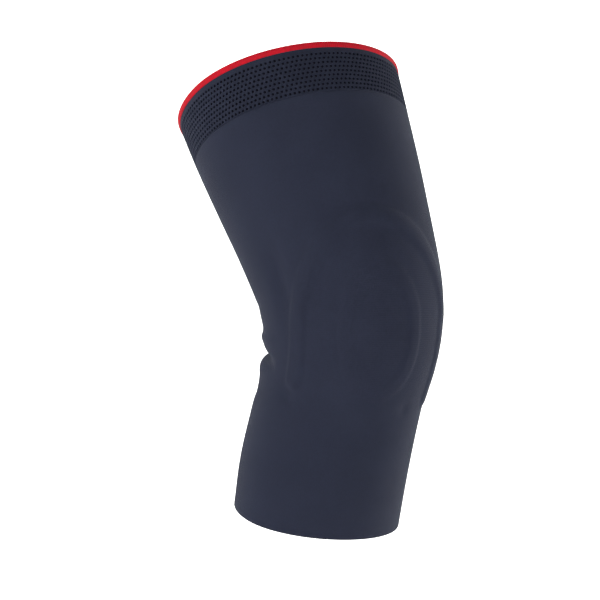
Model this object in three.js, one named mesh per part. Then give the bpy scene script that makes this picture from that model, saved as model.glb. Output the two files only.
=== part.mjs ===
// A knitted knee sleeve for a right leg, in the form it has when worn on a slightly bent knee.
// Millimetres, +Z up. The origin is the knee's centre on the tube's centreline.
// The kneecap faces -Y, the leg's outer side is -X and its inner side is +X.
import * as THREE from "three";

// Centreline: lengths along it, and how far each half of the leg leans, in degrees
const THIGH_LENGTH = 175;
const SHIN_LENGTH = 145;
const BEND_LENGTH = 90;
const THIGH_LEAN_BACK = 25;
const SHIN_LEAN_BACK = 16;
const THIGH_LEAN_OUT = 1.5;
const SHIN_LEAN_IN = 0.5;

// Mean radius of the sleeve's outside at the top edge, the knee and the bottom edge
const TOP_RADIUS = 81;
const KNEE_RADIUS = 63;
const BOTTOM_RADIUS = 57;

// Walls and bands
const BODY_WALL = 2;
const CUFF_WALL = 1.5;
const CUFF_HEIGHT = 33;
const EDGE_WALL = 2.6;
const EDGE_HEIGHT = 4.6;
const SEAM_GAP = 0.3;

// Moulded pad behind the knit: an arch over the kneecap, two legs beside it and a ring round it
const PAD_THICKNESS = 3;
const PAD_RIM_THICKNESS = 1.2;
const PAD_RIM_TAPER = 4;
const PAD_GAP = 0.3;
const PAD_PLACE = -8; // along the centreline, of the line where the arch meets the legs
const PAD_TURN = 15.5; // degrees from the front to the outer side
const PAD_TILT = 2; // degrees, its top towards the front
const ARCH_HALF_WIDTH = 67.5;
const ARCH_HEIGHT = 58;
const ARCH_ROUNDNESS = 1.75; // 2 is an ellipse, less is more pointed
const LEG_WIDTH = 12;
const LEG_LENGTH = 39;
const APRON_DROP = 4; // how far above the line the arch's lower edge stays between leg and ring
const RING_RADIUS = 26;
const RING_WIDTH = 9;
const RING_DROP = 2; // the ring's centre below the line

// Relief that the pad gives the knit
const WELT_HEIGHT = 1.3;
const WELT_SOFTNESS = 2.2;
const PLATEAU_HEIGHT = 0.9;
const PLATEAU_RAMP = 7;
const RING_RELIEF = 0.9;
const RING_SOFTNESS = 1.6;

// Size of a full form of the leg and of a full fold behind the knee
const FORM_HEIGHT = 2;
const FORM_REACH = 15;
const FOLD_DEPTH = 7;
const FOLD_HALF_WIDTH = 5;

// Mesh steps
const COLUMNS_OVER_PAD = 35;
const COLUMNS_BEHIND = 20;
const PAD_HALF_SPAN = 78; // degrees each side of the pad's middle that the fine columns cover
const FINE_ROW = 5.4;
const COARSE_ROW = 12;
const FINE_BELOW = 54;
const FINE_ABOVE = 54;
const CUFF_ROWS = 3;
const CENTRELINE_STEP = 1;

// Sections of the tube, bottom to top. along: share of the shin's length (below 0) or the thigh's.
// swell: share of the way from the knee's mean radius to the bottom's or the top's.
// outer, inner, front, back: half-widths as shares of the mean radius there.
const SECTIONS = [
  { along: -1.0, swell: 1.0, outer: 1.08, inner: 1.045, front: 0.83, back: 1.05 },
  { along: -0.76, swell: 0.8, outer: 1.07, inner: 0.98, front: 0.89, back: 1.055 },
  { along: -0.52, swell: 0.88, outer: 1.04, inner: 0.955, front: 0.98, back: 1.03 },
  { along: -0.31, swell: 0.9, outer: 1.005, inner: 0.97, front: 1.035, back: 0.98 },
  { along: -0.14, swell: 0.45, outer: 0.985, inner: 1.005, front: 1.055, back: 0.92 },
  { along: 0.03, swell: 0.0, outer: 0.985, inner: 1.05, front: 1.045, back: 0.92 },
  { along: 0.17, swell: 0.11, outer: 0.99, inner: 1.06, front: 1.03, back: 0.925 },
  { along: 0.34, swell: 0.26, outer: 1.004, inner: 1.065, front: 1.008, back: 0.945 },
  { along: 0.54, swell: 0.52, outer: 1.008, inner: 1.043, front: 0.974, back: 0.974 },
  { along: 0.77, swell: 0.75, outer: 1.02, inner: 1.04, front: 0.92, back: 1.02 },
  { along: 1.0, swell: 1.0, outer: 0.988, inner: 1.03, front: 0.864, back: 1.07 },
];

// Low forms of the leg under the knit. along: share of SHIN_LENGTH (below 0) or THIGH_LENGTH.
// turn: degrees from the front to the outer side. height: share of FORM_HEIGHT.
// tall, wide: shares of FORM_REACH, along the leg and round it.
const FORMS = [
  { along: -0.31, turn: 17, height: 0.8, tall: 0.9, wide: 1.0 }, // below the kneecap
  { along: -0.42, turn: 34, height: -0.5, tall: 0.6, wide: 0.9 }, // hollow beside it
  { along: -0.26, turn: 47, height: -0.8, tall: 1.0, wide: 1.0 }, // hollow beside the outer leg
  { along: -0.35, turn: 75, height: -0.6, tall: 0.4, wide: 0.5 }, // below the pad's outer leg
  { along: -0.33, turn: -12, height: -0.4, tall: 0.3, wide: 0.4 }, // dimple on the inner side
  { along: 0.12, turn: 79, height: -1.2, tall: 1.4, wide: 0.45 }, // groove behind the outer leg
  { along: 0.1, turn: -48, height: -0.5, tall: 1.4, wide: 0.45 }, // the same behind the inner leg
  { along: 0.195, turn: 13, height: -0.6, tall: 0.5, wide: 0.8 }, // under the arch's top
];

// Folds behind the knee. along: share of BEND_LENGTH. depth: share of FOLD_DEPTH, below 0 where the
// knit puffs out. width: share of FOLD_HALF_WIDTH. turn: degrees round to the fold's middle, 180 at
// the back. reach: degrees from there to its ends. droop, slant: shares of FOLD_DEPTH by which both
// ends lie below the middle, and by which the end on the inner side lies above it.
const FOLDS = [
  { along: -0.35, depth: 1.0, width: 0.8, turn: 180, reach: 90, droop: 0.4, slant: 0.0 },
  { along: -0.19, depth: -0.3, width: 1.1, turn: 180, reach: 90, droop: 0.2, slant: 0.0 },
  { along: -0.475, depth: -0.25, width: 1.1, turn: 180, reach: 85, droop: 0.3, slant: 0.0 },
  { along: -0.06, depth: 0.35, width: 1.0, turn: 200, reach: 62, droop: -0.5, slant: 0.7 },
  { along: 0.1, depth: 0.22, width: 1.2, turn: 165, reach: 48, droop: -0.4, slant: -0.6 },
  { along: -0.6, depth: 0.25, width: 1.1, turn: 172, reach: 55, droop: 0.6, slant: 0.5 },
];

const DEGREE = Math.PI / 180;
const NAVY_KNIT = new THREE.MeshStandardMaterial({ color: 0x2e3040, roughness: 0.9, metalness: 0 });
const EYELET_KNIT = new THREE.MeshStandardMaterial({ color: 0x262936, roughness: 0.92, metalness: 0 });
const RED_KNIT = new THREE.MeshStandardMaterial({ color: 0xc8162a, roughness: 0.85, metalness: 0 });
const SILICONE = new THREE.MeshStandardMaterial({ color: 0x3a3d4c, roughness: 0.55, metalness: 0 });

const mix = (from, to, share) => from + (to - from) * share;
const bell = (distance) => Math.exp(-distance * distance);

function smoothStep(value) {
  const t = Math.min(Math.max(value, 0), 1);
  return t * t * (3 - 2 * t);
}

// Direction of the centreline, from the shin's lean to the thigh's over BEND_LENGTH
function direction(along) {
  const bend = smoothStep(along / BEND_LENGTH + 0.5);
  const back = mix(-SHIN_LEAN_BACK, THIGH_LEAN_BACK, bend) * DEGREE;
  const inward = mix(SHIN_LEAN_IN, -THIGH_LEAN_OUT, bend) * DEGREE;
  return new THREE.Vector3(
    Math.sin(inward) * Math.cos(back),
    Math.sin(back),
    Math.cos(inward) * Math.cos(back),
  );
}

// Points of the centreline from the knee's centre, one for each step towards one end
function walk(length, sign) {
  const steps = Math.ceil(length / CENTRELINE_STEP);
  const points = [new THREE.Vector3()];
  for (let i = 0; i < steps; i++) {
    const middle = sign * (i + 0.5) * CENTRELINE_STEP;
    points.push(direction(middle).multiplyScalar(sign * CENTRELINE_STEP).add(points[i]));
  }
  return points;
}

const THIGH_LINE = walk(THIGH_LENGTH, 1);
const SHIN_LINE = walk(SHIN_LENGTH, -1);

function centreAt(along) {
  const line = along < 0 ? SHIN_LINE : THIGH_LINE;
  const place = Math.abs(along) / CENTRELINE_STEP;
  const i = Math.min(Math.floor(place), line.length - 2);
  return line[i].clone().lerp(line[i + 1], place - i);
}

// The table's rows as real sizes: the place along the centreline and the four half-widths there
const STATIONS = SECTIONS.map((row) => {
  const end = row.along < 0 ? BOTTOM_RADIUS : TOP_RADIUS;
  const radius = mix(KNEE_RADIUS, end, row.swell);
  return {
    along: row.along * (row.along < 0 ? SHIN_LENGTH : THIGH_LENGTH),
    outer: row.outer * radius,
    inner: row.inner * radius,
    front: row.front * radius,
    back: row.back * radius,
  };
});

// Slope of one column of the stations at row i, for a smooth curve through them
function slope(column, i) {
  const low = STATIONS[Math.max(i - 1, 0)];
  const high = STATIONS[Math.min(i + 1, STATIONS.length - 1)];
  return (high[column] - low[column]) / (high.along - low.along);
}

function halfWidth(column, along) {
  let i = 0;
  while (i < STATIONS.length - 2 && along > STATIONS[i + 1].along) i++;
  const [low, high] = [STATIONS[i], STATIONS[i + 1]];
  const span = high.along - low.along;
  const t = (along - low.along) / span;
  return (
    (2 * t ** 3 - 3 * t ** 2 + 1) * low[column] +
    (t ** 3 - 2 * t ** 2 + t) * span * slope(column, i) +
    (3 * t ** 2 - 2 * t ** 3) * high[column] +
    (t ** 3 - t ** 2) * span * slope(column, i + 1)
  );
}

// Place on the pad's own flat layout: x from its middle to the outer side, y up from its line.
// The knee's radius turns an angle into a length
function padPlace(along, turn) {
  const across = (turn - PAD_TURN * DEGREE) * KNEE_RADIUS;
  const up = along - PAD_PLACE;
  const tilt = PAD_TILT * DEGREE;
  return {
    x: across * Math.cos(tilt) + up * Math.sin(tilt),
    y: up * Math.cos(tilt) - across * Math.sin(tilt),
  };
}

// How far a place lies inside the arch's outline, which runs straight down below its line
function insideArch({ x, y }) {
  if (y <= 0) return ARCH_HALF_WIDTH - Math.abs(x);
  const distance = Math.hypot(x, y);
  const reach =
    (Math.abs(x) / ARCH_HALF_WIDTH) ** ARCH_ROUNDNESS + (y / ARCH_HEIGHT) ** ARCH_ROUNDNESS;
  return distance * (reach ** (-1 / ARCH_ROUNDNESS) - 1);
}

function fromLegMiddle({ x, y }) {
  const lowest = -LEG_LENGTH + LEG_WIDTH / 2;
  return Math.hypot(Math.abs(x) - ARCH_HALF_WIDTH + LEG_WIDTH / 2, y - Math.min(Math.max(y, lowest), 0));
}

const fromRingMiddle = ({ x, y }) => Math.abs(Math.hypot(x, y + RING_DROP) - RING_RADIUS);

// How far a place lies inside the whole pad. Below 0 it is outside
function insidePad(place) {
  const arch = Math.min(insideArch(place), place.y - APRON_DROP);
  const leg = LEG_WIDTH / 2 - fromLegMiddle(place);
  const ring = RING_WIDTH / 2 - fromRingMiddle(place);
  const hole = Math.hypot(place.x, place.y + RING_DROP) - RING_RADIUS + RING_WIDTH / 2;
  return Math.min(Math.max(arch, leg, ring), hole);
}

// 1 within a band of that width round its middle line, with soft sides
function band(distance, width, softness) {
  return smoothStep((width / 2 + softness - distance) / (2 * softness));
}

// Height that the pad gives the knit: a welt along its outline, a low plateau and a ring
function padRelief(along, turn) {
  const place = padPlace(along, turn);
  const arch = insideArch(place);
  const fromWelt = place.y > 0 ? Math.abs(arch - LEG_WIDTH / 2) : fromLegMiddle(place);
  const plateau = Math.min(arch, place.y - APRON_DROP);
  return (
    WELT_HEIGHT * band(fromWelt, LEG_WIDTH, WELT_SOFTNESS) +
    PLATEAU_HEIGHT * smoothStep(plateau / PLATEAU_RAMP) +
    RING_RELIEF * band(fromRingMiddle(place), RING_WIDTH, RING_SOFTNESS)
  );
}

function formRelief(along, turn) {
  let height = 0;
  for (const form of FORMS) {
    const up = along - form.along * (form.along < 0 ? SHIN_LENGTH : THIGH_LENGTH);
    const across = (turn - form.turn * DEGREE) * KNEE_RADIUS;
    const away = Math.hypot(up / (form.tall * FORM_REACH), across / (form.wide * FORM_REACH));
    height += form.height * FORM_HEIGHT * bell(away);
  }
  return height;
}

function foldRelief(along, turn) {
  let height = 0;
  for (const fold of FOLDS) {
    const share = wrapTurn(turn - fold.turn * DEGREE) / (fold.reach * DEGREE);
    const rise = (fold.slant * share - fold.droop * share ** 2) * FOLD_DEPTH;
    const fade = Math.sqrt(smoothStep((1 - Math.abs(share)) * 2));
    const away = (along - fold.along * BEND_LENGTH - rise) / (fold.width * FOLD_HALF_WIDTH);
    height -= fold.depth * FOLD_DEPTH * fade * bell(away);
  }
  return height;
}

// Angle from the front to the outer side, from -PI to PI
function wrapTurn(turn) {
  return Math.atan2(Math.sin(turn), Math.cos(turn));
}

// A point of the sleeve, at a depth below its outer face. turn 0 is the front, PI / 2 the outer side
function sleevePoint(along, turn, depth) {
  const angle = wrapTurn(turn);
  const relief = padRelief(along, angle) + formRelief(along, angle) + foldRelief(along, angle);
  const width = halfWidth(angle > 0 ? "outer" : "inner", along);
  const reach = halfWidth(Math.abs(angle) < Math.PI / 2 ? "front" : "back", along);
  const normal = new THREE.Vector2(-Math.sin(angle) / width, Math.cos(angle) / reach).normalize();
  const x = -width * Math.sin(angle) + normal.x * (relief - depth);
  const y = reach * Math.cos(angle) + normal.y * (relief - depth);
  const up = direction(along);
  const inward = new THREE.Vector3(1, 0, 0).addScaledVector(up, -up.x).normalize();
  const forward = new THREE.Vector3().crossVectors(inward, up);
  return centreAt(along).addScaledVector(inward, x).addScaledVector(forward, y);
}

// Angles of the mesh columns: fine over the pad, coarser behind the leg
function columnAngles() {
  const start = (PAD_TURN - PAD_HALF_SPAN) * DEGREE;
  const fine = 2 * PAD_HALF_SPAN * DEGREE;
  const angles = [];
  for (let i = 0; i < COLUMNS_OVER_PAD; i++) angles.push(start + (fine * i) / COLUMNS_OVER_PAD);
  const rest = 2 * Math.PI - fine;
  for (let i = 0; i < COLUMNS_BEHIND; i++) angles.push(start + fine + (rest * i) / COLUMNS_BEHIND);
  return angles;
}

const COLUMNS = columnAngles();

// Evenly spaced places from one to the other, both included, no further apart than step
function evenRows(from, to, step) {
  const count = Math.max(1, Math.round((to - from) / step));
  return Array.from({ length: count + 1 }, (_, i) => mix(from, to, i / count));
}

function geometryOf(points, triangles) {
  const geometry = new THREE.BufferGeometry();
  geometry.setAttribute(
    "position",
    new THREE.Float32BufferAttribute(points.flatMap((p) => p.toArray()), 3),
  );
  geometry.setIndex(triangles.flat());
  geometry.computeVertexNormals();
  return geometry;
}

// A closed ring: each profile entry is {along, depth}, and the profile closes on itself.
// Going along it, the material is on the left, seen with the outside of the sleeve to the right
function ringGeometry(profile) {
  const count = COLUMNS.length;
  const points = profile.flatMap(({ along, depth }) =>
    COLUMNS.map((turn) => sleevePoint(along, turn, depth)),
  );
  const triangles = [];
  for (let i = 0; i < profile.length; i++) {
    const next = (i + 1) % profile.length;
    for (let j = 0; j < count; j++) {
      const beside = (j + 1) % count;
      const [a, b, c, d] = [
        i * count + j,
        i * count + beside,
        next * count + beside,
        next * count + j,
      ];
      triangles.push([a, c, b], [a, d, c]);
    }
  }
  return geometryOf(points, triangles);
}

// Profile of a plain wall through the given rows, up the outside and down the inside
function wallProfile(rows, wall) {
  const outside = rows.map((along) => ({ along, depth: 0 }));
  const inside = rows.map((along) => ({ along, depth: wall })).reverse();
  return [...outside, ...inside];
}

const CUFF_TOP = THIGH_LENGTH - EDGE_HEIGHT - SEAM_GAP;
const BODY_TOP = CUFF_TOP - CUFF_HEIGHT - SEAM_GAP;

function bodyRows() {
  const low = evenRows(-SHIN_LENGTH, -FINE_BELOW, COARSE_ROW);
  const fine = evenRows(-FINE_BELOW, FINE_ABOVE, FINE_ROW);
  const high = evenRows(FINE_ABOVE, BODY_TOP, COARSE_ROW);
  return [...low, ...fine.slice(1), ...high.slice(1)];
}

const BODY_ROWS = bodyRows();

// The rolled red edge: an outline with rounded shoulders, a little proud of the cuff below it
function edgeProfile() {
  const base = THIGH_LENGTH - EDGE_HEIGHT;
  const proud = (EDGE_WALL - CUFF_WALL) / 2;
  const shoulder = EDGE_WALL / 4;
  return [
    { along: base, depth: -proud + shoulder },
    { along: base + shoulder, depth: -proud },
    { along: THIGH_LENGTH - shoulder, depth: -proud },
    { along: THIGH_LENGTH, depth: -proud + shoulder },
    { along: THIGH_LENGTH, depth: EDGE_WALL - proud - shoulder },
    { along: THIGH_LENGTH - shoulder, depth: EDGE_WALL - proud },
    { along: base + shoulder, depth: EDGE_WALL - proud },
    { along: base, depth: EDGE_WALL - proud - shoulder },
  ];
}

// One corner of the pad's mesh: its two faces' points and how far inside the pad's outline it is
function padCorner(along, turn) {
  const inside = insidePad(padPlace(along, turn));
  const rim = smoothStep(Math.max(inside, 0) / PAD_RIM_TAPER);
  const thickness = mix(PAD_RIM_THICKNESS, PAD_THICKNESS, rim);
  const top = BODY_WALL + PAD_GAP;
  return {
    inside,
    outer: sleevePoint(along, turn, top),
    inner: sleevePoint(along, turn, top + thickness),
  };
}

// The pad is cut from the inner wall's own mesh, triangle by triangle, along its outline, so that
// its outer face is parallel to that wall. A cut stays this share of an edge away from a corner
const CLOSEST_CUT = 0.12;

class PadMesh {
  constructor() {
    this.points = [];
    this.triangles = [];
    this.numbers = new Map();
    this.borders = new Map();
  }

  // Number of a corner's outer point. Its inner point has the next number
  number(key, outer, inner) {
    if (!this.numbers.has(key)) {
      this.numbers.set(key, this.points.length);
      this.points.push(outer, inner);
    }
    return this.numbers.get(key);
  }

  corner(c) {
    return this.number(c.key, c.outer, c.inner);
  }

  cut(a, b) {
    const [low, high] = a.key < b.key ? [a, b] : [b, a];
    const crossing = low.inside / (low.inside - high.inside);
    const share = Math.min(Math.max(crossing, CLOSEST_CUT), 1 - CLOSEST_CUT);
    const outer = low.outer.clone().lerp(high.outer, share);
    const inner = low.inner.clone().lerp(high.inner, share);
    const rim = outer.clone().add(inner.sub(outer).setLength(PAD_RIM_THICKNESS));
    return this.number(`${low.key}:${high.key}`, outer, rim);
  }

  // One triangle of the wall, cut to what lies inside the outline
  add(corners) {
    const kept = [];
    corners.forEach((corner, i) => {
      const next = corners[(i + 1) % corners.length];
      if (corner.inside > 0) kept.push(this.corner(corner));
      if (corner.inside > 0 !== next.inside > 0) kept.push(this.cut(corner, next));
    });
    for (let i = 1; i < kept.length - 1; i++) {
      this.triangles.push([kept[0], kept[i], kept[i + 1]]);
      this.triangles.push([kept[0] + 1, kept[i + 1] + 1, kept[i] + 1]);
    }
    kept.forEach((from, i) => this.border(from, kept[(i + 1) % kept.length]));
  }

  // An edge used by one triangle only is on the outline, where a wall joins the two faces
  border(from, to) {
    const back = `${to},${from}`;
    if (this.borders.has(back)) this.borders.delete(back);
    else this.borders.set(`${from},${to}`, [from, to]);
  }

  geometry() {
    for (const [from, to] of this.borders.values()) {
      this.triangles.push([to, from, from + 1], [to, from + 1, to + 1]);
    }
    return geometryOf(this.points, this.triangles);
  }
}

function padGeometry() {
  const mesh = new PadMesh();
  const rows = BODY_ROWS.filter((along) => along >= -FINE_BELOW && along <= FINE_ABOVE);
  const grid = rows.map((along, i) =>
    COLUMNS.slice(0, COLUMNS_OVER_PAD + 1).map((turn, j) => ({
      key: i * COLUMNS.length + j,
      ...padCorner(along, turn),
    })),
  );
  for (let i = 0; i < grid.length - 1; i++) {
    for (let j = 0; j < COLUMNS_OVER_PAD; j++) {
      const [a, b, c, d] = [grid[i][j], grid[i][j + 1], grid[i + 1][j + 1], grid[i + 1][j]];
      mesh.add([a, d, b]);
      mesh.add([b, d, c]);
    }
  }
  return mesh.geometry();
}

const piece = (name, geometry, material) => Object.assign(new THREE.Mesh(geometry, material), { name });

const kneeSleeve = new THREE.Group();
kneeSleeve.add(piece("red_top_edge", ringGeometry(edgeProfile()), RED_KNIT));
const cuffRows = evenRows(BODY_TOP + SEAM_GAP, CUFF_TOP, CUFF_HEIGHT / CUFF_ROWS);
kneeSleeve.add(piece("eyelet_cuff", ringGeometry(wallProfile(cuffRows, CUFF_WALL)), EYELET_KNIT));
kneeSleeve.add(piece("sleeve_body", ringGeometry(wallProfile(BODY_ROWS, BODY_WALL)), NAVY_KNIT));
kneeSleeve.add(piece("patella_pad", padGeometry(), SILICONE));

export default kneeSleeve;
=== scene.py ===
import math

import bpy
import numpy as np
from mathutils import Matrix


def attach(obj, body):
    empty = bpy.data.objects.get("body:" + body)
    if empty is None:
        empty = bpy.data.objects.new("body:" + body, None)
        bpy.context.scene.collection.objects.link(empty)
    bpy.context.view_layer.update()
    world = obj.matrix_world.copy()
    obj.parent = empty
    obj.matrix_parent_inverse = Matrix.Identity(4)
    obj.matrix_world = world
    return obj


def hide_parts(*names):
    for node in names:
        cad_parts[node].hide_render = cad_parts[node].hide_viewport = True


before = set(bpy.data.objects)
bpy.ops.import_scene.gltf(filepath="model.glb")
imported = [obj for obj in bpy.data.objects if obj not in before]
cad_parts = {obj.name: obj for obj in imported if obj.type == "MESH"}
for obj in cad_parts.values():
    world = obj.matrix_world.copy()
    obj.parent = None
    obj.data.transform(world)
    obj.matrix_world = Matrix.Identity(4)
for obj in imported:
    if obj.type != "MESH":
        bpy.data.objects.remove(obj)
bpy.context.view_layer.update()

MM = 0.001
DEGREE = math.pi / 180

# Centreline and radii
THIGH_LENGTH = 175.0
SHIN_LENGTH = 145.0
BEND_LENGTH = 90.0
THIGH_LEAN_BACK = 25.0
SHIN_LEAN_BACK = 16.0
THIGH_LEAN_OUT = 1.5
SHIN_LEAN_IN = 0.5
TOP_RADIUS = 81.0
KNEE_RADIUS = 63.0
BOTTOM_RADIUS = 57.0
CENTRELINE_STEP = 1.0

# Walls and bands
BODY_WALL = 2.0
CUFF_WALL = 1.5
CUFF_HEIGHT = 33.0
CUFF_DIP = 0.25
EDGE_WALL = 2.6
EDGE_HEIGHT = 4.6
SEAM_GAP = 0.3
CUFF_TOP = THIGH_LENGTH - EDGE_HEIGHT - SEAM_GAP
CUFF_BOTTOM = CUFF_TOP - CUFF_HEIGHT

# Moulded pad behind the knit
PAD_THICKNESS = 3.0
PAD_RIM_THICKNESS = 1.2
PAD_RIM_TAPER = 4.0
PAD_GAP = 0.3
PAD_PLACE = -8.0
PAD_TURN = 15.5
PAD_TILT = 2.0
ARCH_HALF_WIDTH = 67.5
ARCH_HEIGHT = 58.0
ARCH_ROUNDNESS = 1.75
LEG_WIDTH = 12.0
LEG_LENGTH = 39.0
APRON_DROP = 4.0
RING_RADIUS = 26.0
RING_WIDTH = 9.0
RING_DROP = 2.0

# Relief of the pad, the leg's forms and the folds
WELT_HEIGHT = 1.3
WELT_SOFTNESS = 2.2
PLATEAU_HEIGHT = 0.9
PLATEAU_RAMP = 7.0
RING_RELIEF = 0.9
RING_SOFTNESS = 1.6
FORM_HEIGHT = 2.0
FORM_REACH = 15.0
FOLD_DEPTH = 7.0
FOLD_HALF_WIDTH = 5.0

# along, swell, outer, inner, front, back: places and half-widths as shares, bottom to top
SECTIONS = np.array([
    (-1.0, 1.0, 1.08, 1.045, 0.83, 1.05),
    (-0.76, 0.8, 1.07, 0.98, 0.89, 1.055),
    (-0.52, 0.88, 1.04, 0.955, 0.98, 1.03),
    (-0.31, 0.9, 1.005, 0.97, 1.035, 0.98),
    (-0.14, 0.45, 0.985, 1.005, 1.055, 0.92),
    (0.03, 0.0, 0.985, 1.05, 1.045, 0.92),
    (0.17, 0.11, 0.99, 1.06, 1.03, 0.925),
    (0.34, 0.26, 1.004, 1.065, 1.008, 0.945),
    (0.54, 0.52, 1.008, 1.043, 0.974, 0.974),
    (0.77, 0.75, 1.02, 1.04, 0.92, 1.02),
    (1.0, 1.0, 0.988, 1.03, 0.864, 1.07),
])

# along, turn, height, tall, wide: low forms of the leg under the knit
FORMS = (
    (-0.31, 17, 0.8, 0.9, 1.0),
    (-0.42, 34, -0.5, 0.6, 0.9),
    (-0.26, 47, -0.8, 1.0, 1.0),
    (-0.35, 75, -0.6, 0.4, 0.5),
    (-0.33, -12, -0.4, 0.3, 0.4),
    (0.12, 79, -1.2, 1.4, 0.45),
    (0.1, -48, -0.5, 1.4, 0.45),
    (0.195, 13, -0.6, 0.5, 0.8),
)

# along, depth, width, turn, reach, droop, slant: folds behind the knee
FOLDS = (
    (-0.35, 1.0, 0.8, 180, 90, 0.4, 0.0),
    (-0.19, -0.3, 1.1, 180, 90, 0.2, 0.0),
    (-0.475, -0.25, 1.1, 180, 85, 0.3, 0.0),
    (-0.06, 0.35, 1.0, 200, 62, -0.5, 0.7),
    (0.1, 0.22, 1.2, 165, 48, -0.4, -0.6),
    (-0.6, 0.25, 1.1, 172, 55, 0.6, 0.5),
)

# Knit: wales run up the sleeve, courses run round it
WALES = 420
COURSES_PER_MM = 1.15
BODY_COLUMNS = 260
BODY_ROW = 2.0
CORNER_RADIUS = 0.8
HEM_ROLL = 0.35
HEM_HEIGHT = 3.0

# Eyelets: blind pits in the cuff, in staggered rows, with a plain strip above them.
# CUFF_TUCK is how far the cuff's mesh runs up into the red edge
EYELETS_ROUND = 148
EYELET_ROWS = 9
EYELET_FIELD = 30.2
EYELET_RADIUS = 0.92
EYELET_LIP = 0.42
LIP_RISE = 0.3
MOUTH_DEPTH = 0.3
PIT_DEPTH = 1.1
CUFF_TUCK = 0.9

# Red edge
EDGE_STITCHES = 310
COLUMNS_PER_STITCH = 6
STITCH_DIP = 0.16
EDGE_SECTION_POINTS = 16
EDGE_SQUARENESS = 0.6

# Pad mesh: half its span is in degrees, and a cut stays that share of an edge from its ends
PAD_COLUMN = 1.5
PAD_ROW = 2.0
PAD_HALF_SPAN = 76.0
CLOSEST_CUT = 0.15
NUB_PITCH = 3.0
NUB_SHARE = 0.35

# Faces that meet at more than this many degrees keep a hard edge
HARD_EDGE = 70.0

# Shades: each surface runs between a dark and a light one
WHITE = (1.0, 1.0, 1.0, 1.0)
KNIT_DARK = (0.0105, 0.0125, 0.024, 1.0)
KNIT_LIGHT = (0.022, 0.0262, 0.046, 1.0)
OPENWORK_DARK = (0.009, 0.0108, 0.021, 1.0)
# The eyelets' pits are coloured far darker than the knit: painted shade for the shade inside them
PAINTED_PIT_SHADE_DARK = (0.002, 0.0025, 0.005, 1.0)
PAINTED_PIT_SHADE_LIGHT = (0.007, 0.008, 0.014, 1.0)
RED_DARK = (0.30, 0.002, 0.008, 1.0)
RED_LIGHT = (0.50, 0.004, 0.016, 1.0)
SILICONE_DARK = (0.035, 0.038, 0.055, 1.0)
SILICONE_LIGHT = (0.06, 0.064, 0.088, 1.0)
PAPER_DARK = (0.88, 0.88, 0.88, 1.0)
PAPER_LIGHT = (0.92, 0.92, 0.92, 1.0)

# Roughness of each surface, from its lowest to its highest
KNIT_ROUGHNESS = (0.82, 0.90)
PIT_ROUGHNESS = (0.85, 0.95)
RED_ROUGHNESS = (0.65, 0.80)
SILICONE_ROUGHNESS = (0.38, 0.53)
PAPER_ROUGHNESS = (0.85, 0.95)

# Noise: repeats to a metre
KNIT_CLOUDS = 22.0
KNIT_FUZZ = 2600.0
PIT_CLOUDS = 900.0
RED_CLOUDS = 30.0
SILICONE_CLOUDS = 40.0
PAPER_GRAIN = 60.0

# Finish of the knit. Its slant is in courses to half a wale
STITCH_SLANT = 1.1
BEAD_SWING = 0.3
CLOUD_SHARE = 0.5
STITCH_SHARE = 0.2
# The next share is painted shade: the knit darker in the grooves between its stitches and lighter on
# their tops
GROOVE_SHADE_SHARE = 0.3
FUZZ_SHARE = 0.25
KNIT_SPECULAR = 0.12
KNIT_SHEEN = 0.03
SHEEN_ROUGHNESS = 0.4
SHEEN_TINT = (0.74, 0.82, 1.0, 1.0)
PIT_SPECULAR = 0.05
OPENWORK_WALES = 4 * EYELETS_ROUND
OPENWORK_COURSES_PER_MM = 1.5

# Finish of the red edge: its yarn winds round it
EDGE_COURSES_PER_MM = 0.4
EDGE_PLIES = 3.0
EDGE_PLY_SLANT = 0.5
EDGE_CLOUD_SHARE = 0.5
EDGE_STITCH_SHARE = 0.5
EDGE_SPECULAR = 0.15

# Bump: strengths, and depths in metres
KNIT_BUMP = 0.35
OPENWORK_BUMP = 0.4
EDGE_BUMP = 0.5
NUB_BUMP = 0.6
KNIT_BUMP_DEPTH = 0.0003
EDGE_BUMP_DEPTH = 0.0002
NUB_BUMP_DEPTH = 0.0006

# Studio, in metres
FLOOR_LEVEL = -0.42
COVE_CENTRE = 0.4
COVE_FLOOR = 3.2
COVE_BEND = 1.2
COVE_HEIGHT = 5.0
COVE_STEPS = 13
COVE_COLUMNS = 96

# The paper's glow, which is painted light, and how squarely a place lies behind the sleeve where it
# begins and is full
GLOW_BEGINS = 0.3
GLOW_IS_FULL = 0.9
GLOW_AROUND = 0.15
GLOW_BEHIND = 0.95

# name, azimuth, elevation, distance, size, power: lamps, in degrees, metres and watts
LAMPS = (
    ("key", -95, 14, 2.4, 1.0, 37),
    ("fill", -42, 12, 2.6, 1.6, 14),
    ("low_right", 38, -10, 1.5, 0.7, 10),
    ("rim_right", 92, -5, 2.4, 1.0, 27),
)
WORLD_STRENGTH = 0.1

# The photo's view
CAMERA_AZIMUTH = -35.0
CAMERA_DISTANCE = 1.7
CAMERA_REACH = 20.0
PHOTO_SIZE = 600
MM_PER_PIXEL = 0.69
KNEE_PIXEL = (349.0, 316.5)
SENSOR = 36.0


def smooth_step(value):
    t = np.clip(value, 0, 1)
    return t * t * (3 - 2 * t)


def bell(value):
    return np.exp(-value * value)


def mix(low, high, share):
    return low + (high - low) * share


# Centreline and section


def direction(along):
    """Unit vectors up the centreline, which turns from shin to thigh within BEND_LENGTH."""
    bend = smooth_step(along / BEND_LENGTH + 0.5)
    back = mix(-SHIN_LEAN_BACK, THIGH_LEAN_BACK, bend) * DEGREE
    inward = mix(SHIN_LEAN_IN, -THIGH_LEAN_OUT, bend) * DEGREE
    parts = (np.sin(inward) * np.cos(back), np.sin(back), np.cos(inward) * np.cos(back))
    return np.stack(parts, -1)


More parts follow.
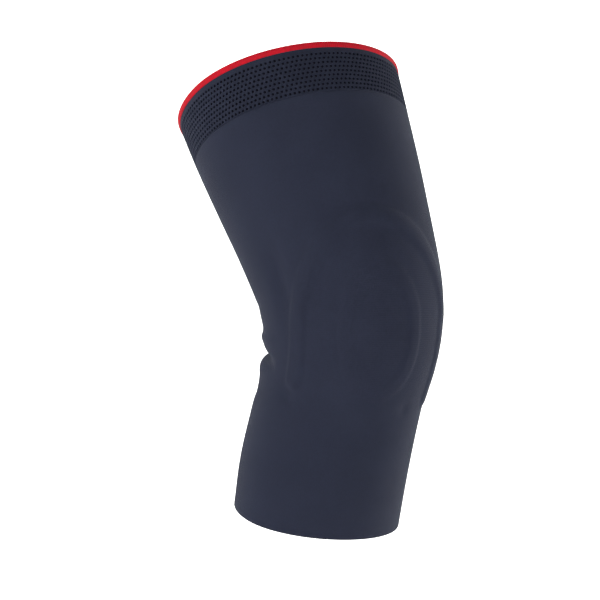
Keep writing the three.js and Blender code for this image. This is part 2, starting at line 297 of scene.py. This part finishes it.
def walk(length, sign):
    """Places along the centreline and its points there, from the knee's centre to one end."""
    steps = math.ceil(length / CENTRELINE_STEP)
    middles = sign * (np.arange(steps) + 0.5) * CENTRELINE_STEP
    moved = np.cumsum(direction(middles) * sign * CENTRELINE_STEP, axis=0)
    return sign * np.arange(steps + 1) * CENTRELINE_STEP, np.vstack([np.zeros(3), moved])


THIGH_AT, THIGH_LINE = walk(THIGH_LENGTH, 1)
SHIN_AT, SHIN_LINE = walk(SHIN_LENGTH, -1)
LINE_AT = np.concatenate([SHIN_AT[:0:-1], THIGH_AT])
LINE = np.vstack([SHIN_LINE[:0:-1], THIGH_LINE])


def centre_at(along):
    return np.stack([np.interp(along, LINE_AT, LINE[:, k]) for k in range(3)], -1)


def stations():
    lengths = np.where(SECTIONS[:, 0] < 0, SHIN_LENGTH, THIGH_LENGTH)
    ends = np.where(SECTIONS[:, 0] < 0, BOTTOM_RADIUS, TOP_RADIUS)
    radius = mix(KNEE_RADIUS, ends, SECTIONS[:, 1])
    return SECTIONS[:, 0] * lengths, SECTIONS[:, 2:] * radius[:, None]


STATION_AT, STATION_WIDTHS = stations()
OUTER, INNER, FRONT, BACK = range(4)


def half_width(column, along):
    """A smooth curve through one column of the stations' half-widths."""
    at, widths = STATION_AT, STATION_WIDTHS[:, column]
    last = len(at) - 1
    before = np.clip(np.arange(-1, last), 0, last)
    after = np.clip(np.arange(1, last + 2), 0, last)
    slopes = (widths[after] - widths[before]) / (at[after] - at[before])
    i = np.clip(np.searchsorted(at, along) - 1, 0, last - 1)
    span = at[i + 1] - at[i]
    t = (along - at[i]) / span
    return (
        (2 * t**3 - 3 * t**2 + 1) * widths[i]
        + (t**3 - 2 * t**2 + t) * span * slopes[i]
        + (3 * t**2 - 2 * t**3) * widths[i + 1]
        + (t**3 - t**2) * span * slopes[i + 1]
    )


# The pad's flat layout


def pad_place(along, turn):
    """The pad's own x and y, in millimetres, of a place on the sleeve."""
    across = (turn - PAD_TURN * DEGREE) * KNEE_RADIUS
    up = along - PAD_PLACE
    tilt = PAD_TILT * DEGREE
    x = across * math.cos(tilt) + up * math.sin(tilt)
    return x, up * math.cos(tilt) - across * math.sin(tilt)


def inside_arch(x, y):
    upper = np.maximum(y, 0)
    reach = (np.abs(x) / ARCH_HALF_WIDTH) ** ARCH_ROUNDNESS + (upper / ARCH_HEIGHT) ** ARCH_ROUNDNESS
    over = np.hypot(x, upper) * (np.maximum(reach, 1e-9) ** (-1 / ARCH_ROUNDNESS) - 1)
    return np.where(y > 0, over, ARCH_HALF_WIDTH - np.abs(x))


def from_leg_middle(x, y):
    lowest = -LEG_LENGTH + LEG_WIDTH / 2
    return np.hypot(np.abs(x) - ARCH_HALF_WIDTH + LEG_WIDTH / 2, y - np.clip(y, lowest, 0))


def from_ring_middle(x, y):
    return np.abs(np.hypot(x, y + RING_DROP) - RING_RADIUS)


def inside_pad(x, y):
    """Above 0 inside the pad's outline and below 0 outside it."""
    arch = np.minimum(inside_arch(x, y), y - APRON_DROP)
    leg = LEG_WIDTH / 2 - from_leg_middle(x, y)
    ring = RING_WIDTH / 2 - from_ring_middle(x, y)
    hole = np.hypot(x, y + RING_DROP) - RING_RADIUS + RING_WIDTH / 2
    return np.minimum(np.maximum(np.maximum(arch, leg), ring), hole)


# Relief


def band(distance, width, softness):
    """1 within a band of that width round its middle line, with soft sides."""
    return smooth_step((width / 2 + softness - distance) / (2 * softness))


def pad_relief(along, turn):
    x, y = pad_place(along, turn)
    arch = inside_arch(x, y)
    from_welt = np.where(y > 0, np.abs(arch - LEG_WIDTH / 2), from_leg_middle(x, y))
    plateau = np.minimum(arch, y - APRON_DROP)
    return (
        WELT_HEIGHT * band(from_welt, LEG_WIDTH, WELT_SOFTNESS)
        + PLATEAU_HEIGHT * smooth_step(plateau / PLATEAU_RAMP)
        + RING_RELIEF * band(from_ring_middle(x, y), RING_WIDTH, RING_SOFTNESS)
    )


def form_relief(along, turn):
    height = np.zeros_like(along)
    for place, angle, high, tall, wide in FORMS:
        up = along - place * (SHIN_LENGTH if place < 0 else THIGH_LENGTH)
        across = (turn - angle * DEGREE) * KNEE_RADIUS
        away = np.hypot(up / (tall * FORM_REACH), across / (wide * FORM_REACH))
        height = height + high * FORM_HEIGHT * bell(away)
    return height


def wrap_turn(turn):
    return np.arctan2(np.sin(turn), np.cos(turn))


def fold_relief(along, turn):
    height = np.zeros_like(along)
    for place, depth, width, middle, reach, droop, slant in FOLDS:
        share = wrap_turn(turn - middle * DEGREE) / (reach * DEGREE)
        rise = (slant * share - droop * share**2) * FOLD_DEPTH
        fade = np.sqrt(smooth_step((1 - np.abs(share)) * 2))
        away = (along - place * BEND_LENGTH - rise) / (width * FOLD_HALF_WIDTH)
        height = height - depth * FOLD_DEPTH * fade * bell(away)
    return height


def sleeve_points(along, turn, depth):
    """Points in metres of the places on the sleeve, an array of three columns."""
    along, turn, depth = np.broadcast_arrays(*(np.asarray(a, float) for a in (along, turn, depth)))
    angle = wrap_turn(turn)
    relief = pad_relief(along, angle) + form_relief(along, angle) + fold_relief(along, angle)
    width = np.where(angle > 0, half_width(OUTER, along), half_width(INNER, along))
    is_front = np.abs(angle) < math.pi / 2
    reach = np.where(is_front, half_width(FRONT, along), half_width(BACK, along))
    across, ahead = -np.sin(angle) / width, np.cos(angle) / reach
    size = np.hypot(across, ahead)
    x = -width * np.sin(angle) + across / size * (relief - depth)
    y = reach * np.cos(angle) + ahead / size * (relief - depth)
    up = direction(along)
    inward = np.array([1.0, 0, 0]) - up * up[..., :1]
    inward /= np.linalg.norm(inward, axis=-1, keepdims=True)
    forward = np.cross(inward, up)
    return (centre_at(along) + inward * x[..., None] + forward * y[..., None]) * MM


# Meshes


def even_turns(count):
    return np.arange(count) * 2 * math.pi / count


def knit_uvs(knit, faces):
    """The knit's own coordinates at each corner: turns round the leg, and millimetres up it."""
    uvs = knit[faces]
    u = uvs[..., 0]
    uvs[..., 0] = np.where(u < u.max(axis=1, keepdims=True) - 0.5, u + 1, u)
    return uvs.reshape(-1, 2)


def make_mesh(name, points, knit, groups, materials):
    """A smooth mesh object. groups has pairs of faces and the number of their material."""
    mesh = bpy.data.meshes.new(name)
    faces = [face for group, _ in groups for face in group.tolist()]
    mesh.from_pydata(points.tolist(), [], faces)
    layer = mesh.uv_layers.new(name="Knit")
    uvs = np.vstack([knit_uvs(knit, group) for group, _ in groups])
    layer.uv.foreach_set("vector", uvs.astype(np.float32).ravel())
    numbers = np.concatenate([np.full(len(group), number) for group, number in groups])
    mesh.polygons.foreach_set("material_index", numbers.astype(np.int32))
    mesh.polygons.foreach_set("use_smooth", np.ones(len(mesh.polygons), bool))
    mesh.set_sharp_from_angle(angle=HARD_EDGE * DEGREE)
    for material in materials:
        mesh.materials.append(material)
    piece = bpy.data.objects.new(name, mesh)
    bpy.context.scene.collection.objects.link(piece)
    return piece


def strip(first, second):
    """Quads between two closed loops of point numbers. Each row of an array is a loop."""
    first, second = np.atleast_2d(first), np.atleast_2d(second)
    quads = [first, np.roll(first, -1, axis=1), np.roll(second, -1, axis=1), second]
    return np.stack(quads, -1).reshape(-1, 4)


def fan(loop, centre):
    """Triangles from each closed loop of point numbers to its own centre."""
    centre = np.broadcast_to(centre, loop.shape)
    return np.stack([loop, np.roll(loop, -1, axis=1), centre], -1).reshape(-1, 3)


def ring_mesh(name, profile, columns, material, dip=0.0):
    """A closed ring round the leg. profile has rows of along and depth and closes on itself.

    dip is added to the depth of every row: a number, or one for each column.
    """
    turns = even_turns(columns)
    points = sleeve_points(profile[:, :1], turns, profile[:, 1:] + dip)
    numbers = np.arange(points.size // 3).reshape(-1, columns)
    run = np.cumsum(np.hypot(*np.diff(profile, axis=0, prepend=profile[:1]).T))
    u, v = np.meshgrid(turns / (2 * math.pi), run)
    faces = strip(numbers, np.roll(numbers, -1, axis=0))[:, ::-1]
    knit = np.stack([u.ravel(), v.ravel()], -1)
    return make_mesh(name, points.reshape(-1, 3), knit, [(faces, 0)], [material])


def corner(along, depth, way_along, way_depth):
    """Three points of a rounded corner that lies at (along, depth) if it were sharp."""
    middle = 1 - math.sin(math.pi / 4)
    shares = ((0.0, 1.0), (middle, middle), (1.0, 0.0))
    return [
        (along + way_along * a * CORNER_RADIUS, depth + way_depth * b * CORNER_RADIUS)
        for a, b in shares
    ]


def body_profile():
    """Up the outside and down the inside. The bottom edge's inside is a little thicker."""
    low, high = -SHIN_LENGTH + CORNER_RADIUS, CUFF_BOTTOM - CORNER_RADIUS
    rows = np.linspace(low, high, round((high - low) / BODY_ROW) + 1)[1:-1]
    hem = HEM_ROLL * (1 - smooth_step((rows - low) / HEM_HEIGHT))
    outside = np.stack([rows, np.zeros_like(rows)], -1)
    inside = np.stack([rows, BODY_WALL + hem], -1)[::-1]
    return np.vstack([
        corner(-SHIN_LENGTH, 0, 1, 1),
        outside,
        corner(CUFF_BOTTOM, 0, -1, 1)[::-1],
        corner(CUFF_BOTTOM, BODY_WALL, -1, -1),
        inside,
        corner(-SHIN_LENGTH, BODY_WALL + HEM_ROLL, 1, -1)[::-1],
    ])


def edge_profile():
    """The red edge's section: a rounded oblong, a little proud of the cuff."""
    angles = even_turns(EDGE_SECTION_POINTS)
    across, up = np.sin(angles), -np.cos(angles)
    across = np.sign(across) * np.abs(across) ** EDGE_SQUARENESS * EDGE_WALL / 2
    up = np.sign(up) * np.abs(up) ** EDGE_SQUARENESS * EDGE_HEIGHT / 2
    return np.stack([THIGH_LENGTH - EDGE_HEIGHT / 2 + up, CUFF_WALL / 2 - across], -1)


class Places:
    """Places on the sleeve, numbered as they are added."""

    def __init__(self):
        self.rows = []
        self.count = 0

    def add(self, along, turn, depth):
        along, turn, depth = np.broadcast_arrays(along, turn, depth)
        numbers = self.count + np.arange(along.size).reshape(along.shape)
        self.rows.append(np.stack([along.ravel(), turn.ravel(), depth.ravel()]))
        self.count += along.size
        return numbers

    def points_and_knit(self):
        along, turn, depth = np.hstack(self.rows)
        return sleeve_points(along, turn, depth), np.stack([turn / (2 * math.pi), along], -1)


# One eyelet's cell, in quarters of a cell across and halves up: the points of its outline in order
CELL_X = np.array([0, 1, 2, 3, 4, 4, 4, 3, 2, 1, 0, 0])
CELL_Y = np.array([0, 0, 0, 0, 0, 1, 2, 2, 2, 2, 2, 1])


def cell_outlines():
    """Points of the staggered cells' outlines, each once, and each cell's loop of point numbers."""
    quarters = 4 * EYELETS_ROUND
    row, cell = np.divmod(np.arange(EYELET_ROWS * EYELETS_ROUND)[:, None], EYELETS_ROUND)
    x = (4 * cell + 2 * (row % 2) + CELL_X) % quarters
    keys = (2 * row + CELL_Y) * quarters + x
    used, loops = np.unique(keys, return_inverse=True)
    level, quarter = np.divmod(used, quarters)
    along = CUFF_BOTTOM + level * EYELET_FIELD / EYELET_ROWS / 2
    turn = quarter * 2 * math.pi / quarters
    return along, turn, loops.reshape(keys.shape)


def eyelet_rings():
    """A function that gives each eyelet's ring of places at a radius, and the eyelets' centres."""
    cell_width = 2 * math.pi / EYELETS_ROUND
    cell_height = EYELET_FIELD / EYELET_ROWS
    girth = cell_width * TOP_RADIUS
    row, cell = np.divmod(np.arange(EYELET_ROWS * EYELETS_ROUND)[:, None], EYELETS_ROUND)
    along = CUFF_BOTTOM + (row + 0.5) * cell_height
    turn = (cell + 0.5 + (row % 2) / 2) * cell_width
    way = np.arctan2((CELL_Y - 1) * cell_height / 2, (CELL_X - 2) * girth / 4)

    def ring(radius):
        return along + radius * np.sin(way), turn + radius * np.cos(way) / TOP_RADIUS

    return ring, (along, turn)


def cuff_mesh(material, painted_shade_pit_material):
    """The openwork band: each eyelet is a round pit with a soft lip. Its inside is plain."""
    places = Places()
    rim_along, rim_turn, cells = cell_outlines()
    ring, centres = eyelet_rings()
    inner_face = CUFF_DIP + CUFF_WALL
    rim = places.add(rim_along, rim_turn, CUFF_DIP)
    lip = places.add(*ring(EYELET_RADIUS + EYELET_LIP), CUFF_DIP - LIP_RISE)
    mouth = places.add(*ring(EYELET_RADIUS), MOUTH_DEPTH)
    floor = places.add(*ring(EYELET_RADIUS), PIT_DEPTH)
    middle = places.add(*centres, PIT_DEPTH)
    back_rim = places.add(rim_along, rim_turn, inner_face)
    back_middle = places.add(*centres, inner_face)
    quarters = 4 * EYELETS_ROUND
    strip_turns = even_turns(quarters)
    top = places.add(CUFF_TOP + CUFF_TUCK, strip_turns, CUFF_DIP)
    back_top = places.add(CUFF_TOP + CUFF_TUCK, strip_turns, inner_face)
    knit_faces = [
        strip(rim[cells], lip),
        strip(lip, mouth),
        strip(rim[-quarters:], top),
        strip(top, back_top),
        strip(back_top, back_rim[-quarters:]),
        strip(back_rim[:quarters], rim[:quarters]),
    ]
    # The pits' walls and floors take the material of painted shade
    pit_faces = strip(mouth, floor)
    groups = [
        (np.vstack(knit_faces)[:, ::-1], 0),
        (fan(back_rim[cells], back_middle), 0),
        (pit_faces[:, ::-1], 1),
        (fan(floor, middle)[:, ::-1], 1),
    ]
    points, knit = places.points_and_knit()
    return make_mesh("openwork_cuff", points, knit, groups, [material, painted_shade_pit_material])


class PadCutter:
    """Cuts triangles of the inner wall's mesh along the pad's outline."""

    def __init__(self, along, turn):
        self.along, self.turn = along, turn
        self.inside = inside_pad(*pad_place(along, turn))
        self.places = []
        self.numbers = {}
        self.triangles = []
        self.borders = set()

    def number(self, key, along, turn, inside):
        if key not in self.numbers:
            self.numbers[key] = len(self.places)
            self.places.append((along, turn, inside))
        return self.numbers[key]

    def corner(self, a):
        return self.number(a, self.along[a], self.turn[a], self.inside[a])

    def crossing(self, a, b):
        a, b = min(a, b), max(a, b)
        share = self.inside[a] / (self.inside[a] - self.inside[b])
        share = min(max(share, CLOSEST_CUT), 1 - CLOSEST_CUT)
        along = mix(self.along[a], self.along[b], share)
        return self.number((a, b), along, mix(self.turn[a], self.turn[b], share), 0.0)

    def add(self, corners):
        kept = []
        for a, b in zip(corners, corners[1:] + corners[:1]):
            if self.inside[a] > 0:
                kept.append(self.corner(a))
            if (self.inside[a] > 0) != (self.inside[b] > 0):
                kept.append(self.crossing(a, b))
        self.triangles += [(kept[0], kept[k], kept[k + 1]) for k in range(1, len(kept) - 1)]
        for a, b in zip(kept, kept[1:] + kept[:1]):
            if (b, a) in self.borders:
                self.borders.remove((b, a))
            else:
                self.borders.add((a, b))


def pad_mesh(material):
    """The pad behind the knit, thinner along its outline."""
    span = 2 * PAD_HALF_SPAN * DEGREE
    columns = round(span * KNEE_RADIUS / PAD_COLUMN)
    turns = (PAD_TURN - PAD_HALF_SPAN) * DEGREE + np.linspace(0, span, columns + 1)
    low, high = PAD_PLACE - LEG_LENGTH - 2 * PAD_ROW, PAD_PLACE + ARCH_HEIGHT + 2 * PAD_ROW
    rows = round((high - low) / PAD_ROW)
    grid = np.meshgrid(np.linspace(low, high, rows + 1), turns, indexing="ij")
    cutter = PadCutter(*(a.ravel() for a in grid))
    for i in range(rows):
        for j in range(columns):
            a = i * (columns + 1) + j
            above = a + columns + 1
            cutter.add([a, above, a + 1])
            cutter.add([a + 1, above, above + 1])
    along, turn, inside = np.array(cutter.places).T
    thickness = mix(PAD_RIM_THICKNESS, PAD_THICKNESS, smooth_step(inside / PAD_RIM_TAPER))
    places = Places()
    places.add(along, turn, BODY_WALL + PAD_GAP)
    places.add(along, turn, BODY_WALL + PAD_GAP + thickness)
    points, knit = places.points_and_knit()
    front, border = np.array(cutter.triangles), np.array(sorted(cutter.borders))
    behind = len(along)
    side = np.stack([border[:, 1], border[:, 0], border[:, 0] + behind, border[:, 1] + behind], -1)
    groups = [(front, 0), (front[:, ::-1] + behind, 0), (side, 0)]
    return make_mesh("pad_moulding", points, knit, groups, [material])


# Materials


class Nodes:
    """Small helper that adds nodes to one material and links what it is given."""

    def __init__(self, name):
        self.material = bpy.data.materials.new(name)
        self.material.use_nodes = True
        self.tree = self.material.node_tree
        self.tree.nodes.clear()

    def add(self, kind, inputs=None, **settings):
        node = self.tree.nodes.new(kind)
        for key, value in settings.items():
            setattr(node, key, value)
        for key, value in (inputs or {}).items():
            if isinstance(value, bpy.types.NodeSocket):
                self.tree.links.new(value, node.inputs[key])
            else:
                node.inputs[key].default_value = value
        return node

    def math(self, operation, first, second=0.0, third=0.0):
        node = self.add("ShaderNodeMath", {0: first, 1: second, 2: third}, operation=operation)
        return node.outputs[0]

    def knit_place(self):
        uv = self.add("ShaderNodeUVMap", uv_map="Knit").outputs[0]
        split = self.add("ShaderNodeSeparateXYZ", {0: uv})
        return split.outputs[0], split.outputs[1]

    def noise(self, scale, detail=2.0):
        place = self.add("ShaderNodeTexCoord").outputs["Object"]
        inputs = {"Vector": place, "Scale": scale, "Detail": detail}
        return self.add("ShaderNodeTexNoise", inputs).outputs[0]

    def between(self, share, span):
        """The low end of span where share is 0, and its high end where share is 1."""
        low, high = span
        return self.math("MULTIPLY_ADD", share, high - low, low)

    def bump(self, height, strength, depth):
        inputs = {"Strength": strength, "Distance": depth, "Height": height}
        return self.add("ShaderNodeBump", inputs).outputs[0]

    def blend(self, share, low, high):
        node = self.add("ShaderNodeMix", data_type="RGBA")
        for key, value in (("Factor", share), ("A", low), ("B", high)):
            socket = next(s for s in node.inputs if s.name == key and s.enabled)
            if isinstance(value, bpy.types.NodeSocket):
                self.tree.links.new(value, socket)
            else:
                socket.default_value = value
        return next(s for s in node.outputs if s.enabled)

    def finish(self, shader):
        self.add("ShaderNodeOutputMaterial", {"Surface": shader.outputs[0]})
        return self.material


def stitch_height(nodes, wales, courses_per_mm):
    """Height of plain knitting: two slanted legs to each wale, one V to each course."""
    u, v = nodes.knit_place()
    wale = nodes.math("MULTIPLY", u, wales)
    side = nodes.math("ABSOLUTE", nodes.math("SUBTRACT", nodes.math("FRACT", wale), 0.5))
    leg = nodes.math("SINE", nodes.math("MULTIPLY", side, 2 * math.pi))
    lean = nodes.math("MULTIPLY", side, STITCH_SLANT)
    course = nodes.math("MULTIPLY_ADD", v, courses_per_mm, lean)
    wave = nodes.math("SINE", nodes.math("MULTIPLY", course, 2 * math.pi))
    bead = nodes.math("MULTIPLY_ADD", wave, BEAD_SWING, 1 - BEAD_SWING)
    return nodes.math("MULTIPLY", leg, bead)


def stitch_shade(nodes, wales, courses_per_mm):
    """A random share for each stitch."""
    u, v = nodes.knit_place()
    wale = nodes.math("FLOOR", nodes.math("MULTIPLY", u, wales))
    course = nodes.math("FLOOR", nodes.math("MULTIPLY", v, courses_per_mm))
    place = nodes.add("ShaderNodeCombineXYZ", {0: wale, 1: course}).outputs[0]
    return nodes.add("ShaderNodeTexWhiteNoise", {"Vector": place}, noise_dimensions="2D").outputs[0]


def knit_material(name, dark, light, wales, courses_per_mm, bump):
    nodes = Nodes(name)
    height = stitch_height(nodes, wales, courses_per_mm)
    shade = stitch_shade(nodes, wales, courses_per_mm)
    clouds = nodes.noise(KNIT_CLOUDS, 3.0)
    # Painted shade: the colour darkens in the grooves between the yarn's legs and lightens on their
    # tops
    painted_groove_shade = nodes.math("MULTIPLY_ADD", height, GROOVE_SHADE_SHARE, -GROOVE_SHADE_SHARE / 2)
    stitches = nodes.math("MULTIPLY", shade, STITCH_SHARE)
    share = nodes.math("ADD", nodes.math("MULTIPLY_ADD", clouds, CLOUD_SHARE, stitches), painted_groove_shade)
    relief = nodes.math("MULTIPLY_ADD", nodes.noise(KNIT_FUZZ), FUZZ_SHARE, height)
    shader = nodes.add("ShaderNodeBsdfPrincipled", {
        "Base Color": nodes.blend(share, dark, light),
        "Roughness": nodes.between(shade, KNIT_ROUGHNESS),
        "Normal": nodes.bump(relief, bump, KNIT_BUMP_DEPTH),
        "Specular IOR Level": KNIT_SPECULAR,
        "Sheen Weight": KNIT_SHEEN,
        "Sheen Roughness": SHEEN_ROUGHNESS,
        "Sheen Tint": SHEEN_TINT,
    })
    return nodes.finish(shader)


def painted_shade_pit_material():
    """The thin knit at the bottom of an eyelet, coloured far darker than the knit: painted shade in
    the pit.
    """
    nodes = Nodes("eyelet_pit_painted_shade")
    clouds = nodes.noise(PIT_CLOUDS)
    shader = nodes.add("ShaderNodeBsdfPrincipled", {
        "Base Color": nodes.blend(clouds, PAINTED_PIT_SHADE_DARK, PAINTED_PIT_SHADE_LIGHT),
        "Roughness": nodes.between(clouds, PIT_ROUGHNESS),
        "Specular IOR Level": PIT_SPECULAR,
    })
    return nodes.finish(shader)


def red_material():
    """The rolled edge's yarn, in slanted plies."""
    nodes = Nodes("red_edge_knit")
    u, v = nodes.knit_place()
    shade = stitch_shade(nodes, EDGE_STITCHES, EDGE_COURSES_PER_MM)
    clouds = nodes.noise(RED_CLOUDS)
    stitches = nodes.math("MULTIPLY", shade, EDGE_STITCH_SHARE)
    share = nodes.math("MULTIPLY_ADD", clouds, EDGE_CLOUD_SHARE, stitches)
    round_leg = nodes.math("MULTIPLY", u, EDGE_PLIES * EDGE_STITCHES)
    twist = nodes.math("MULTIPLY_ADD", v, EDGE_PLY_SLANT, round_leg)
    plies = nodes.math("SINE", nodes.math("MULTIPLY", twist, 2 * math.pi))
    shader = nodes.add("ShaderNodeBsdfPrincipled", {
        "Base Color": nodes.blend(share, RED_DARK, RED_LIGHT),
        "Roughness": nodes.between(shade, RED_ROUGHNESS),
        "Normal": nodes.bump(plies, EDGE_BUMP, EDGE_BUMP_DEPTH),
        "Specular IOR Level": EDGE_SPECULAR,
    })
    return nodes.finish(shader)


def silicone_material():
    """Satin silicone with rows of small nubs, which keep a real pad from slipping."""
    nodes = Nodes("pad_silicone")
    u, v = nodes.knit_place()
    cell = nodes.add("ShaderNodeCombineXYZ", {
        0: nodes.math("MULTIPLY", u, 2 * math.pi * KNEE_RADIUS / NUB_PITCH),
        1: nodes.math("MULTIPLY", v, 1 / NUB_PITCH),
    }).outputs[0]
    dots = nodes.add("ShaderNodeTexVoronoi", {"Vector": cell, "Scale": 1.0, "Randomness": 0.0})
    nub = nodes.math("MAXIMUM", nodes.math("SUBTRACT", NUB_SHARE, dots.outputs["Distance"]), 0.0)
    clouds = nodes.noise(SILICONE_CLOUDS, 3.0)
    shader = nodes.add("ShaderNodeBsdfPrincipled", {
        "Base Color": nodes.blend(clouds, SILICONE_DARK, SILICONE_LIGHT),
        "Roughness": nodes.between(clouds, SILICONE_ROUGHNESS),
        "Normal": nodes.bump(nub, NUB_BUMP, NUB_BUMP_DEPTH),
    })
    return nodes.finish(shader)


# Stage and lights


def painted_glow_paper():
    """White paper that glows: painted light, brightest behind the sleeve where the camera's view
    ends on it.
    """
    nodes = Nodes("painted_glow_paper")
    place = nodes.add("ShaderNodeTexCoord").outputs["Object"]
    way = nodes.add("ShaderNodeVectorMath", {0: place}, operation="NORMALIZE").outputs[0]
    turn = CAMERA_AZIMUTH * DEGREE
    backdrop = (-math.sin(turn), math.cos(turn), 0.0)
    facing = nodes.add("ShaderNodeVectorMath", {0: way, 1: backdrop}, operation="DOT_PRODUCT")
    glow = nodes.add("ShaderNodeMapRange", {
        "Value": facing.outputs["Value"],
        "From Min": GLOW_BEGINS,
        "From Max": GLOW_IS_FULL,
        "To Min": GLOW_AROUND,
        "To Max": GLOW_BEHIND,
    }, interpolation_type="SMOOTHSTEP").outputs[0]
    grain = nodes.noise(PAPER_GRAIN)
    shader = nodes.add("ShaderNodeBsdfPrincipled", {
        "Base Color": nodes.blend(grain, PAPER_DARK, PAPER_LIGHT),
        "Roughness": nodes.between(grain, PAPER_ROUGHNESS),
        # Painted light: the paper glows, and its glow lights the sleeve as well
        "Emission Color": WHITE,
        "Emission Strength": glow,
    })
    return nodes.finish(shader)


def stage_cove():
    """A pale round studio cove: floor, quarter round and wall. The held-up sleeve hovers in it."""
    rise = np.linspace(0, math.pi / 2, COVE_STEPS)
    radius = np.concatenate([[COVE_CENTRE], COVE_FLOOR + COVE_BEND * np.sin(rise)])
    height = np.concatenate([[0.0], COVE_BEND * (1 - np.cos(rise))])
    radius, height = np.append(radius, radius[-1]), np.append(height, COVE_HEIGHT) + FLOOR_LEVEL
    turns = even_turns(COVE_COLUMNS)
    x, y = radius[:, None] * np.cos(turns), radius[:, None] * np.sin(turns)
    z = np.broadcast_to(height[:, None], x.shape)
    points = np.stack([x, y, z], -1).reshape(-1, 3)
    numbers = np.arange(x.size).reshape(x.shape)
    walls = strip(numbers[:-1], numbers[1:])
    middle = numbers[:1][:, ::-1]
    groups = [(walls, 0), (middle, 0)]
    cove = make_mesh("studio_cove", points, points[:, :2], groups, [painted_glow_paper()])


def area_light(name, azimuth, elevation, distance, size, power):
    """A round soft light that faces the knee. azimuth 0 stands before the kneecap."""
    light = bpy.data.lights.new(name, "AREA")
    light.shape = "DISK"
    light.size = size
    light.energy = power
    lamp = bpy.data.objects.new(name, light)
    turn, rise = azimuth * DEGREE, elevation * DEGREE
    lamp.location = (
        distance * math.sin(turn) * math.cos(rise),
        -distance * math.cos(turn) * math.cos(rise),
        distance * math.sin(rise),
    )
    lamp.rotation_euler = (math.pi / 2 - rise, 0, turn)
    bpy.context.scene.collection.objects.link(lamp)


def lights():
    world = bpy.data.worlds.new("studio")
    world.use_nodes = True
    background = world.node_tree.nodes["Background"]
    background.inputs["Color"].default_value = WHITE
    background.inputs["Strength"].default_value = WORLD_STRENGTH
    bpy.context.scene.world = world
    for lamp in LAMPS:
        area_light(*lamp)


def camera():
    data = bpy.data.cameras.new("photo_view")
    focal_pixels = CAMERA_DISTANCE / MM / MM_PER_PIXEL
    data.sensor_fit = "HORIZONTAL"
    data.sensor_width = SENSOR
    data.lens = focal_pixels / PHOTO_SIZE * SENSOR
    data.shift_x = (PHOTO_SIZE / 2 - KNEE_PIXEL[0]) / PHOTO_SIZE
    data.shift_y = (KNEE_PIXEL[1] - PHOTO_SIZE / 2) / PHOTO_SIZE
    data.clip_end = CAMERA_REACH
    eye = bpy.data.objects.new("photo_view", data)
    turn = CAMERA_AZIMUTH * DEGREE
    eye.location = (CAMERA_DISTANCE * math.sin(turn), -CAMERA_DISTANCE * math.cos(turn), 0)
    eye.rotation_euler = (math.pi / 2, 0, turn)
    bpy.context.scene.collection.objects.link(eye)
    bpy.context.scene.camera = eye


def seat(piece, node):
    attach(piece, "root")
    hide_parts(node)


bpy.context.scene.view_settings.view_transform = "Standard"
camera()
lights()
stage_cove()

# The sleeve's pieces

navy = knit_material("navy_knit", KNIT_DARK, KNIT_LIGHT, WALES, COURSES_PER_MM, KNIT_BUMP)
openwork = knit_material(
    "openwork_knit",
    OPENWORK_DARK,
    KNIT_LIGHT,
    OPENWORK_WALES,
    OPENWORK_COURSES_PER_MM,
    OPENWORK_BUMP,
)
body = ring_mesh("knit_tube", body_profile(), BODY_COLUMNS, navy)
seat(body, "sleeve_body")
cuff = cuff_mesh(openwork, painted_shade_pit_material())
seat(cuff, "eyelet_cuff")
edge_columns = EDGE_STITCHES * COLUMNS_PER_STITCH
stitch_dips = STITCH_DIP * np.abs(np.sin(even_turns(edge_columns) * EDGE_STITCHES / 2))
edge = ring_mesh("red_rolled_edge", edge_profile(), edge_columns, red_material(), stitch_dips)
seat(edge, "red_top_edge")
pad = pad_mesh(silicone_material())
seat(pad, "patella_pad")
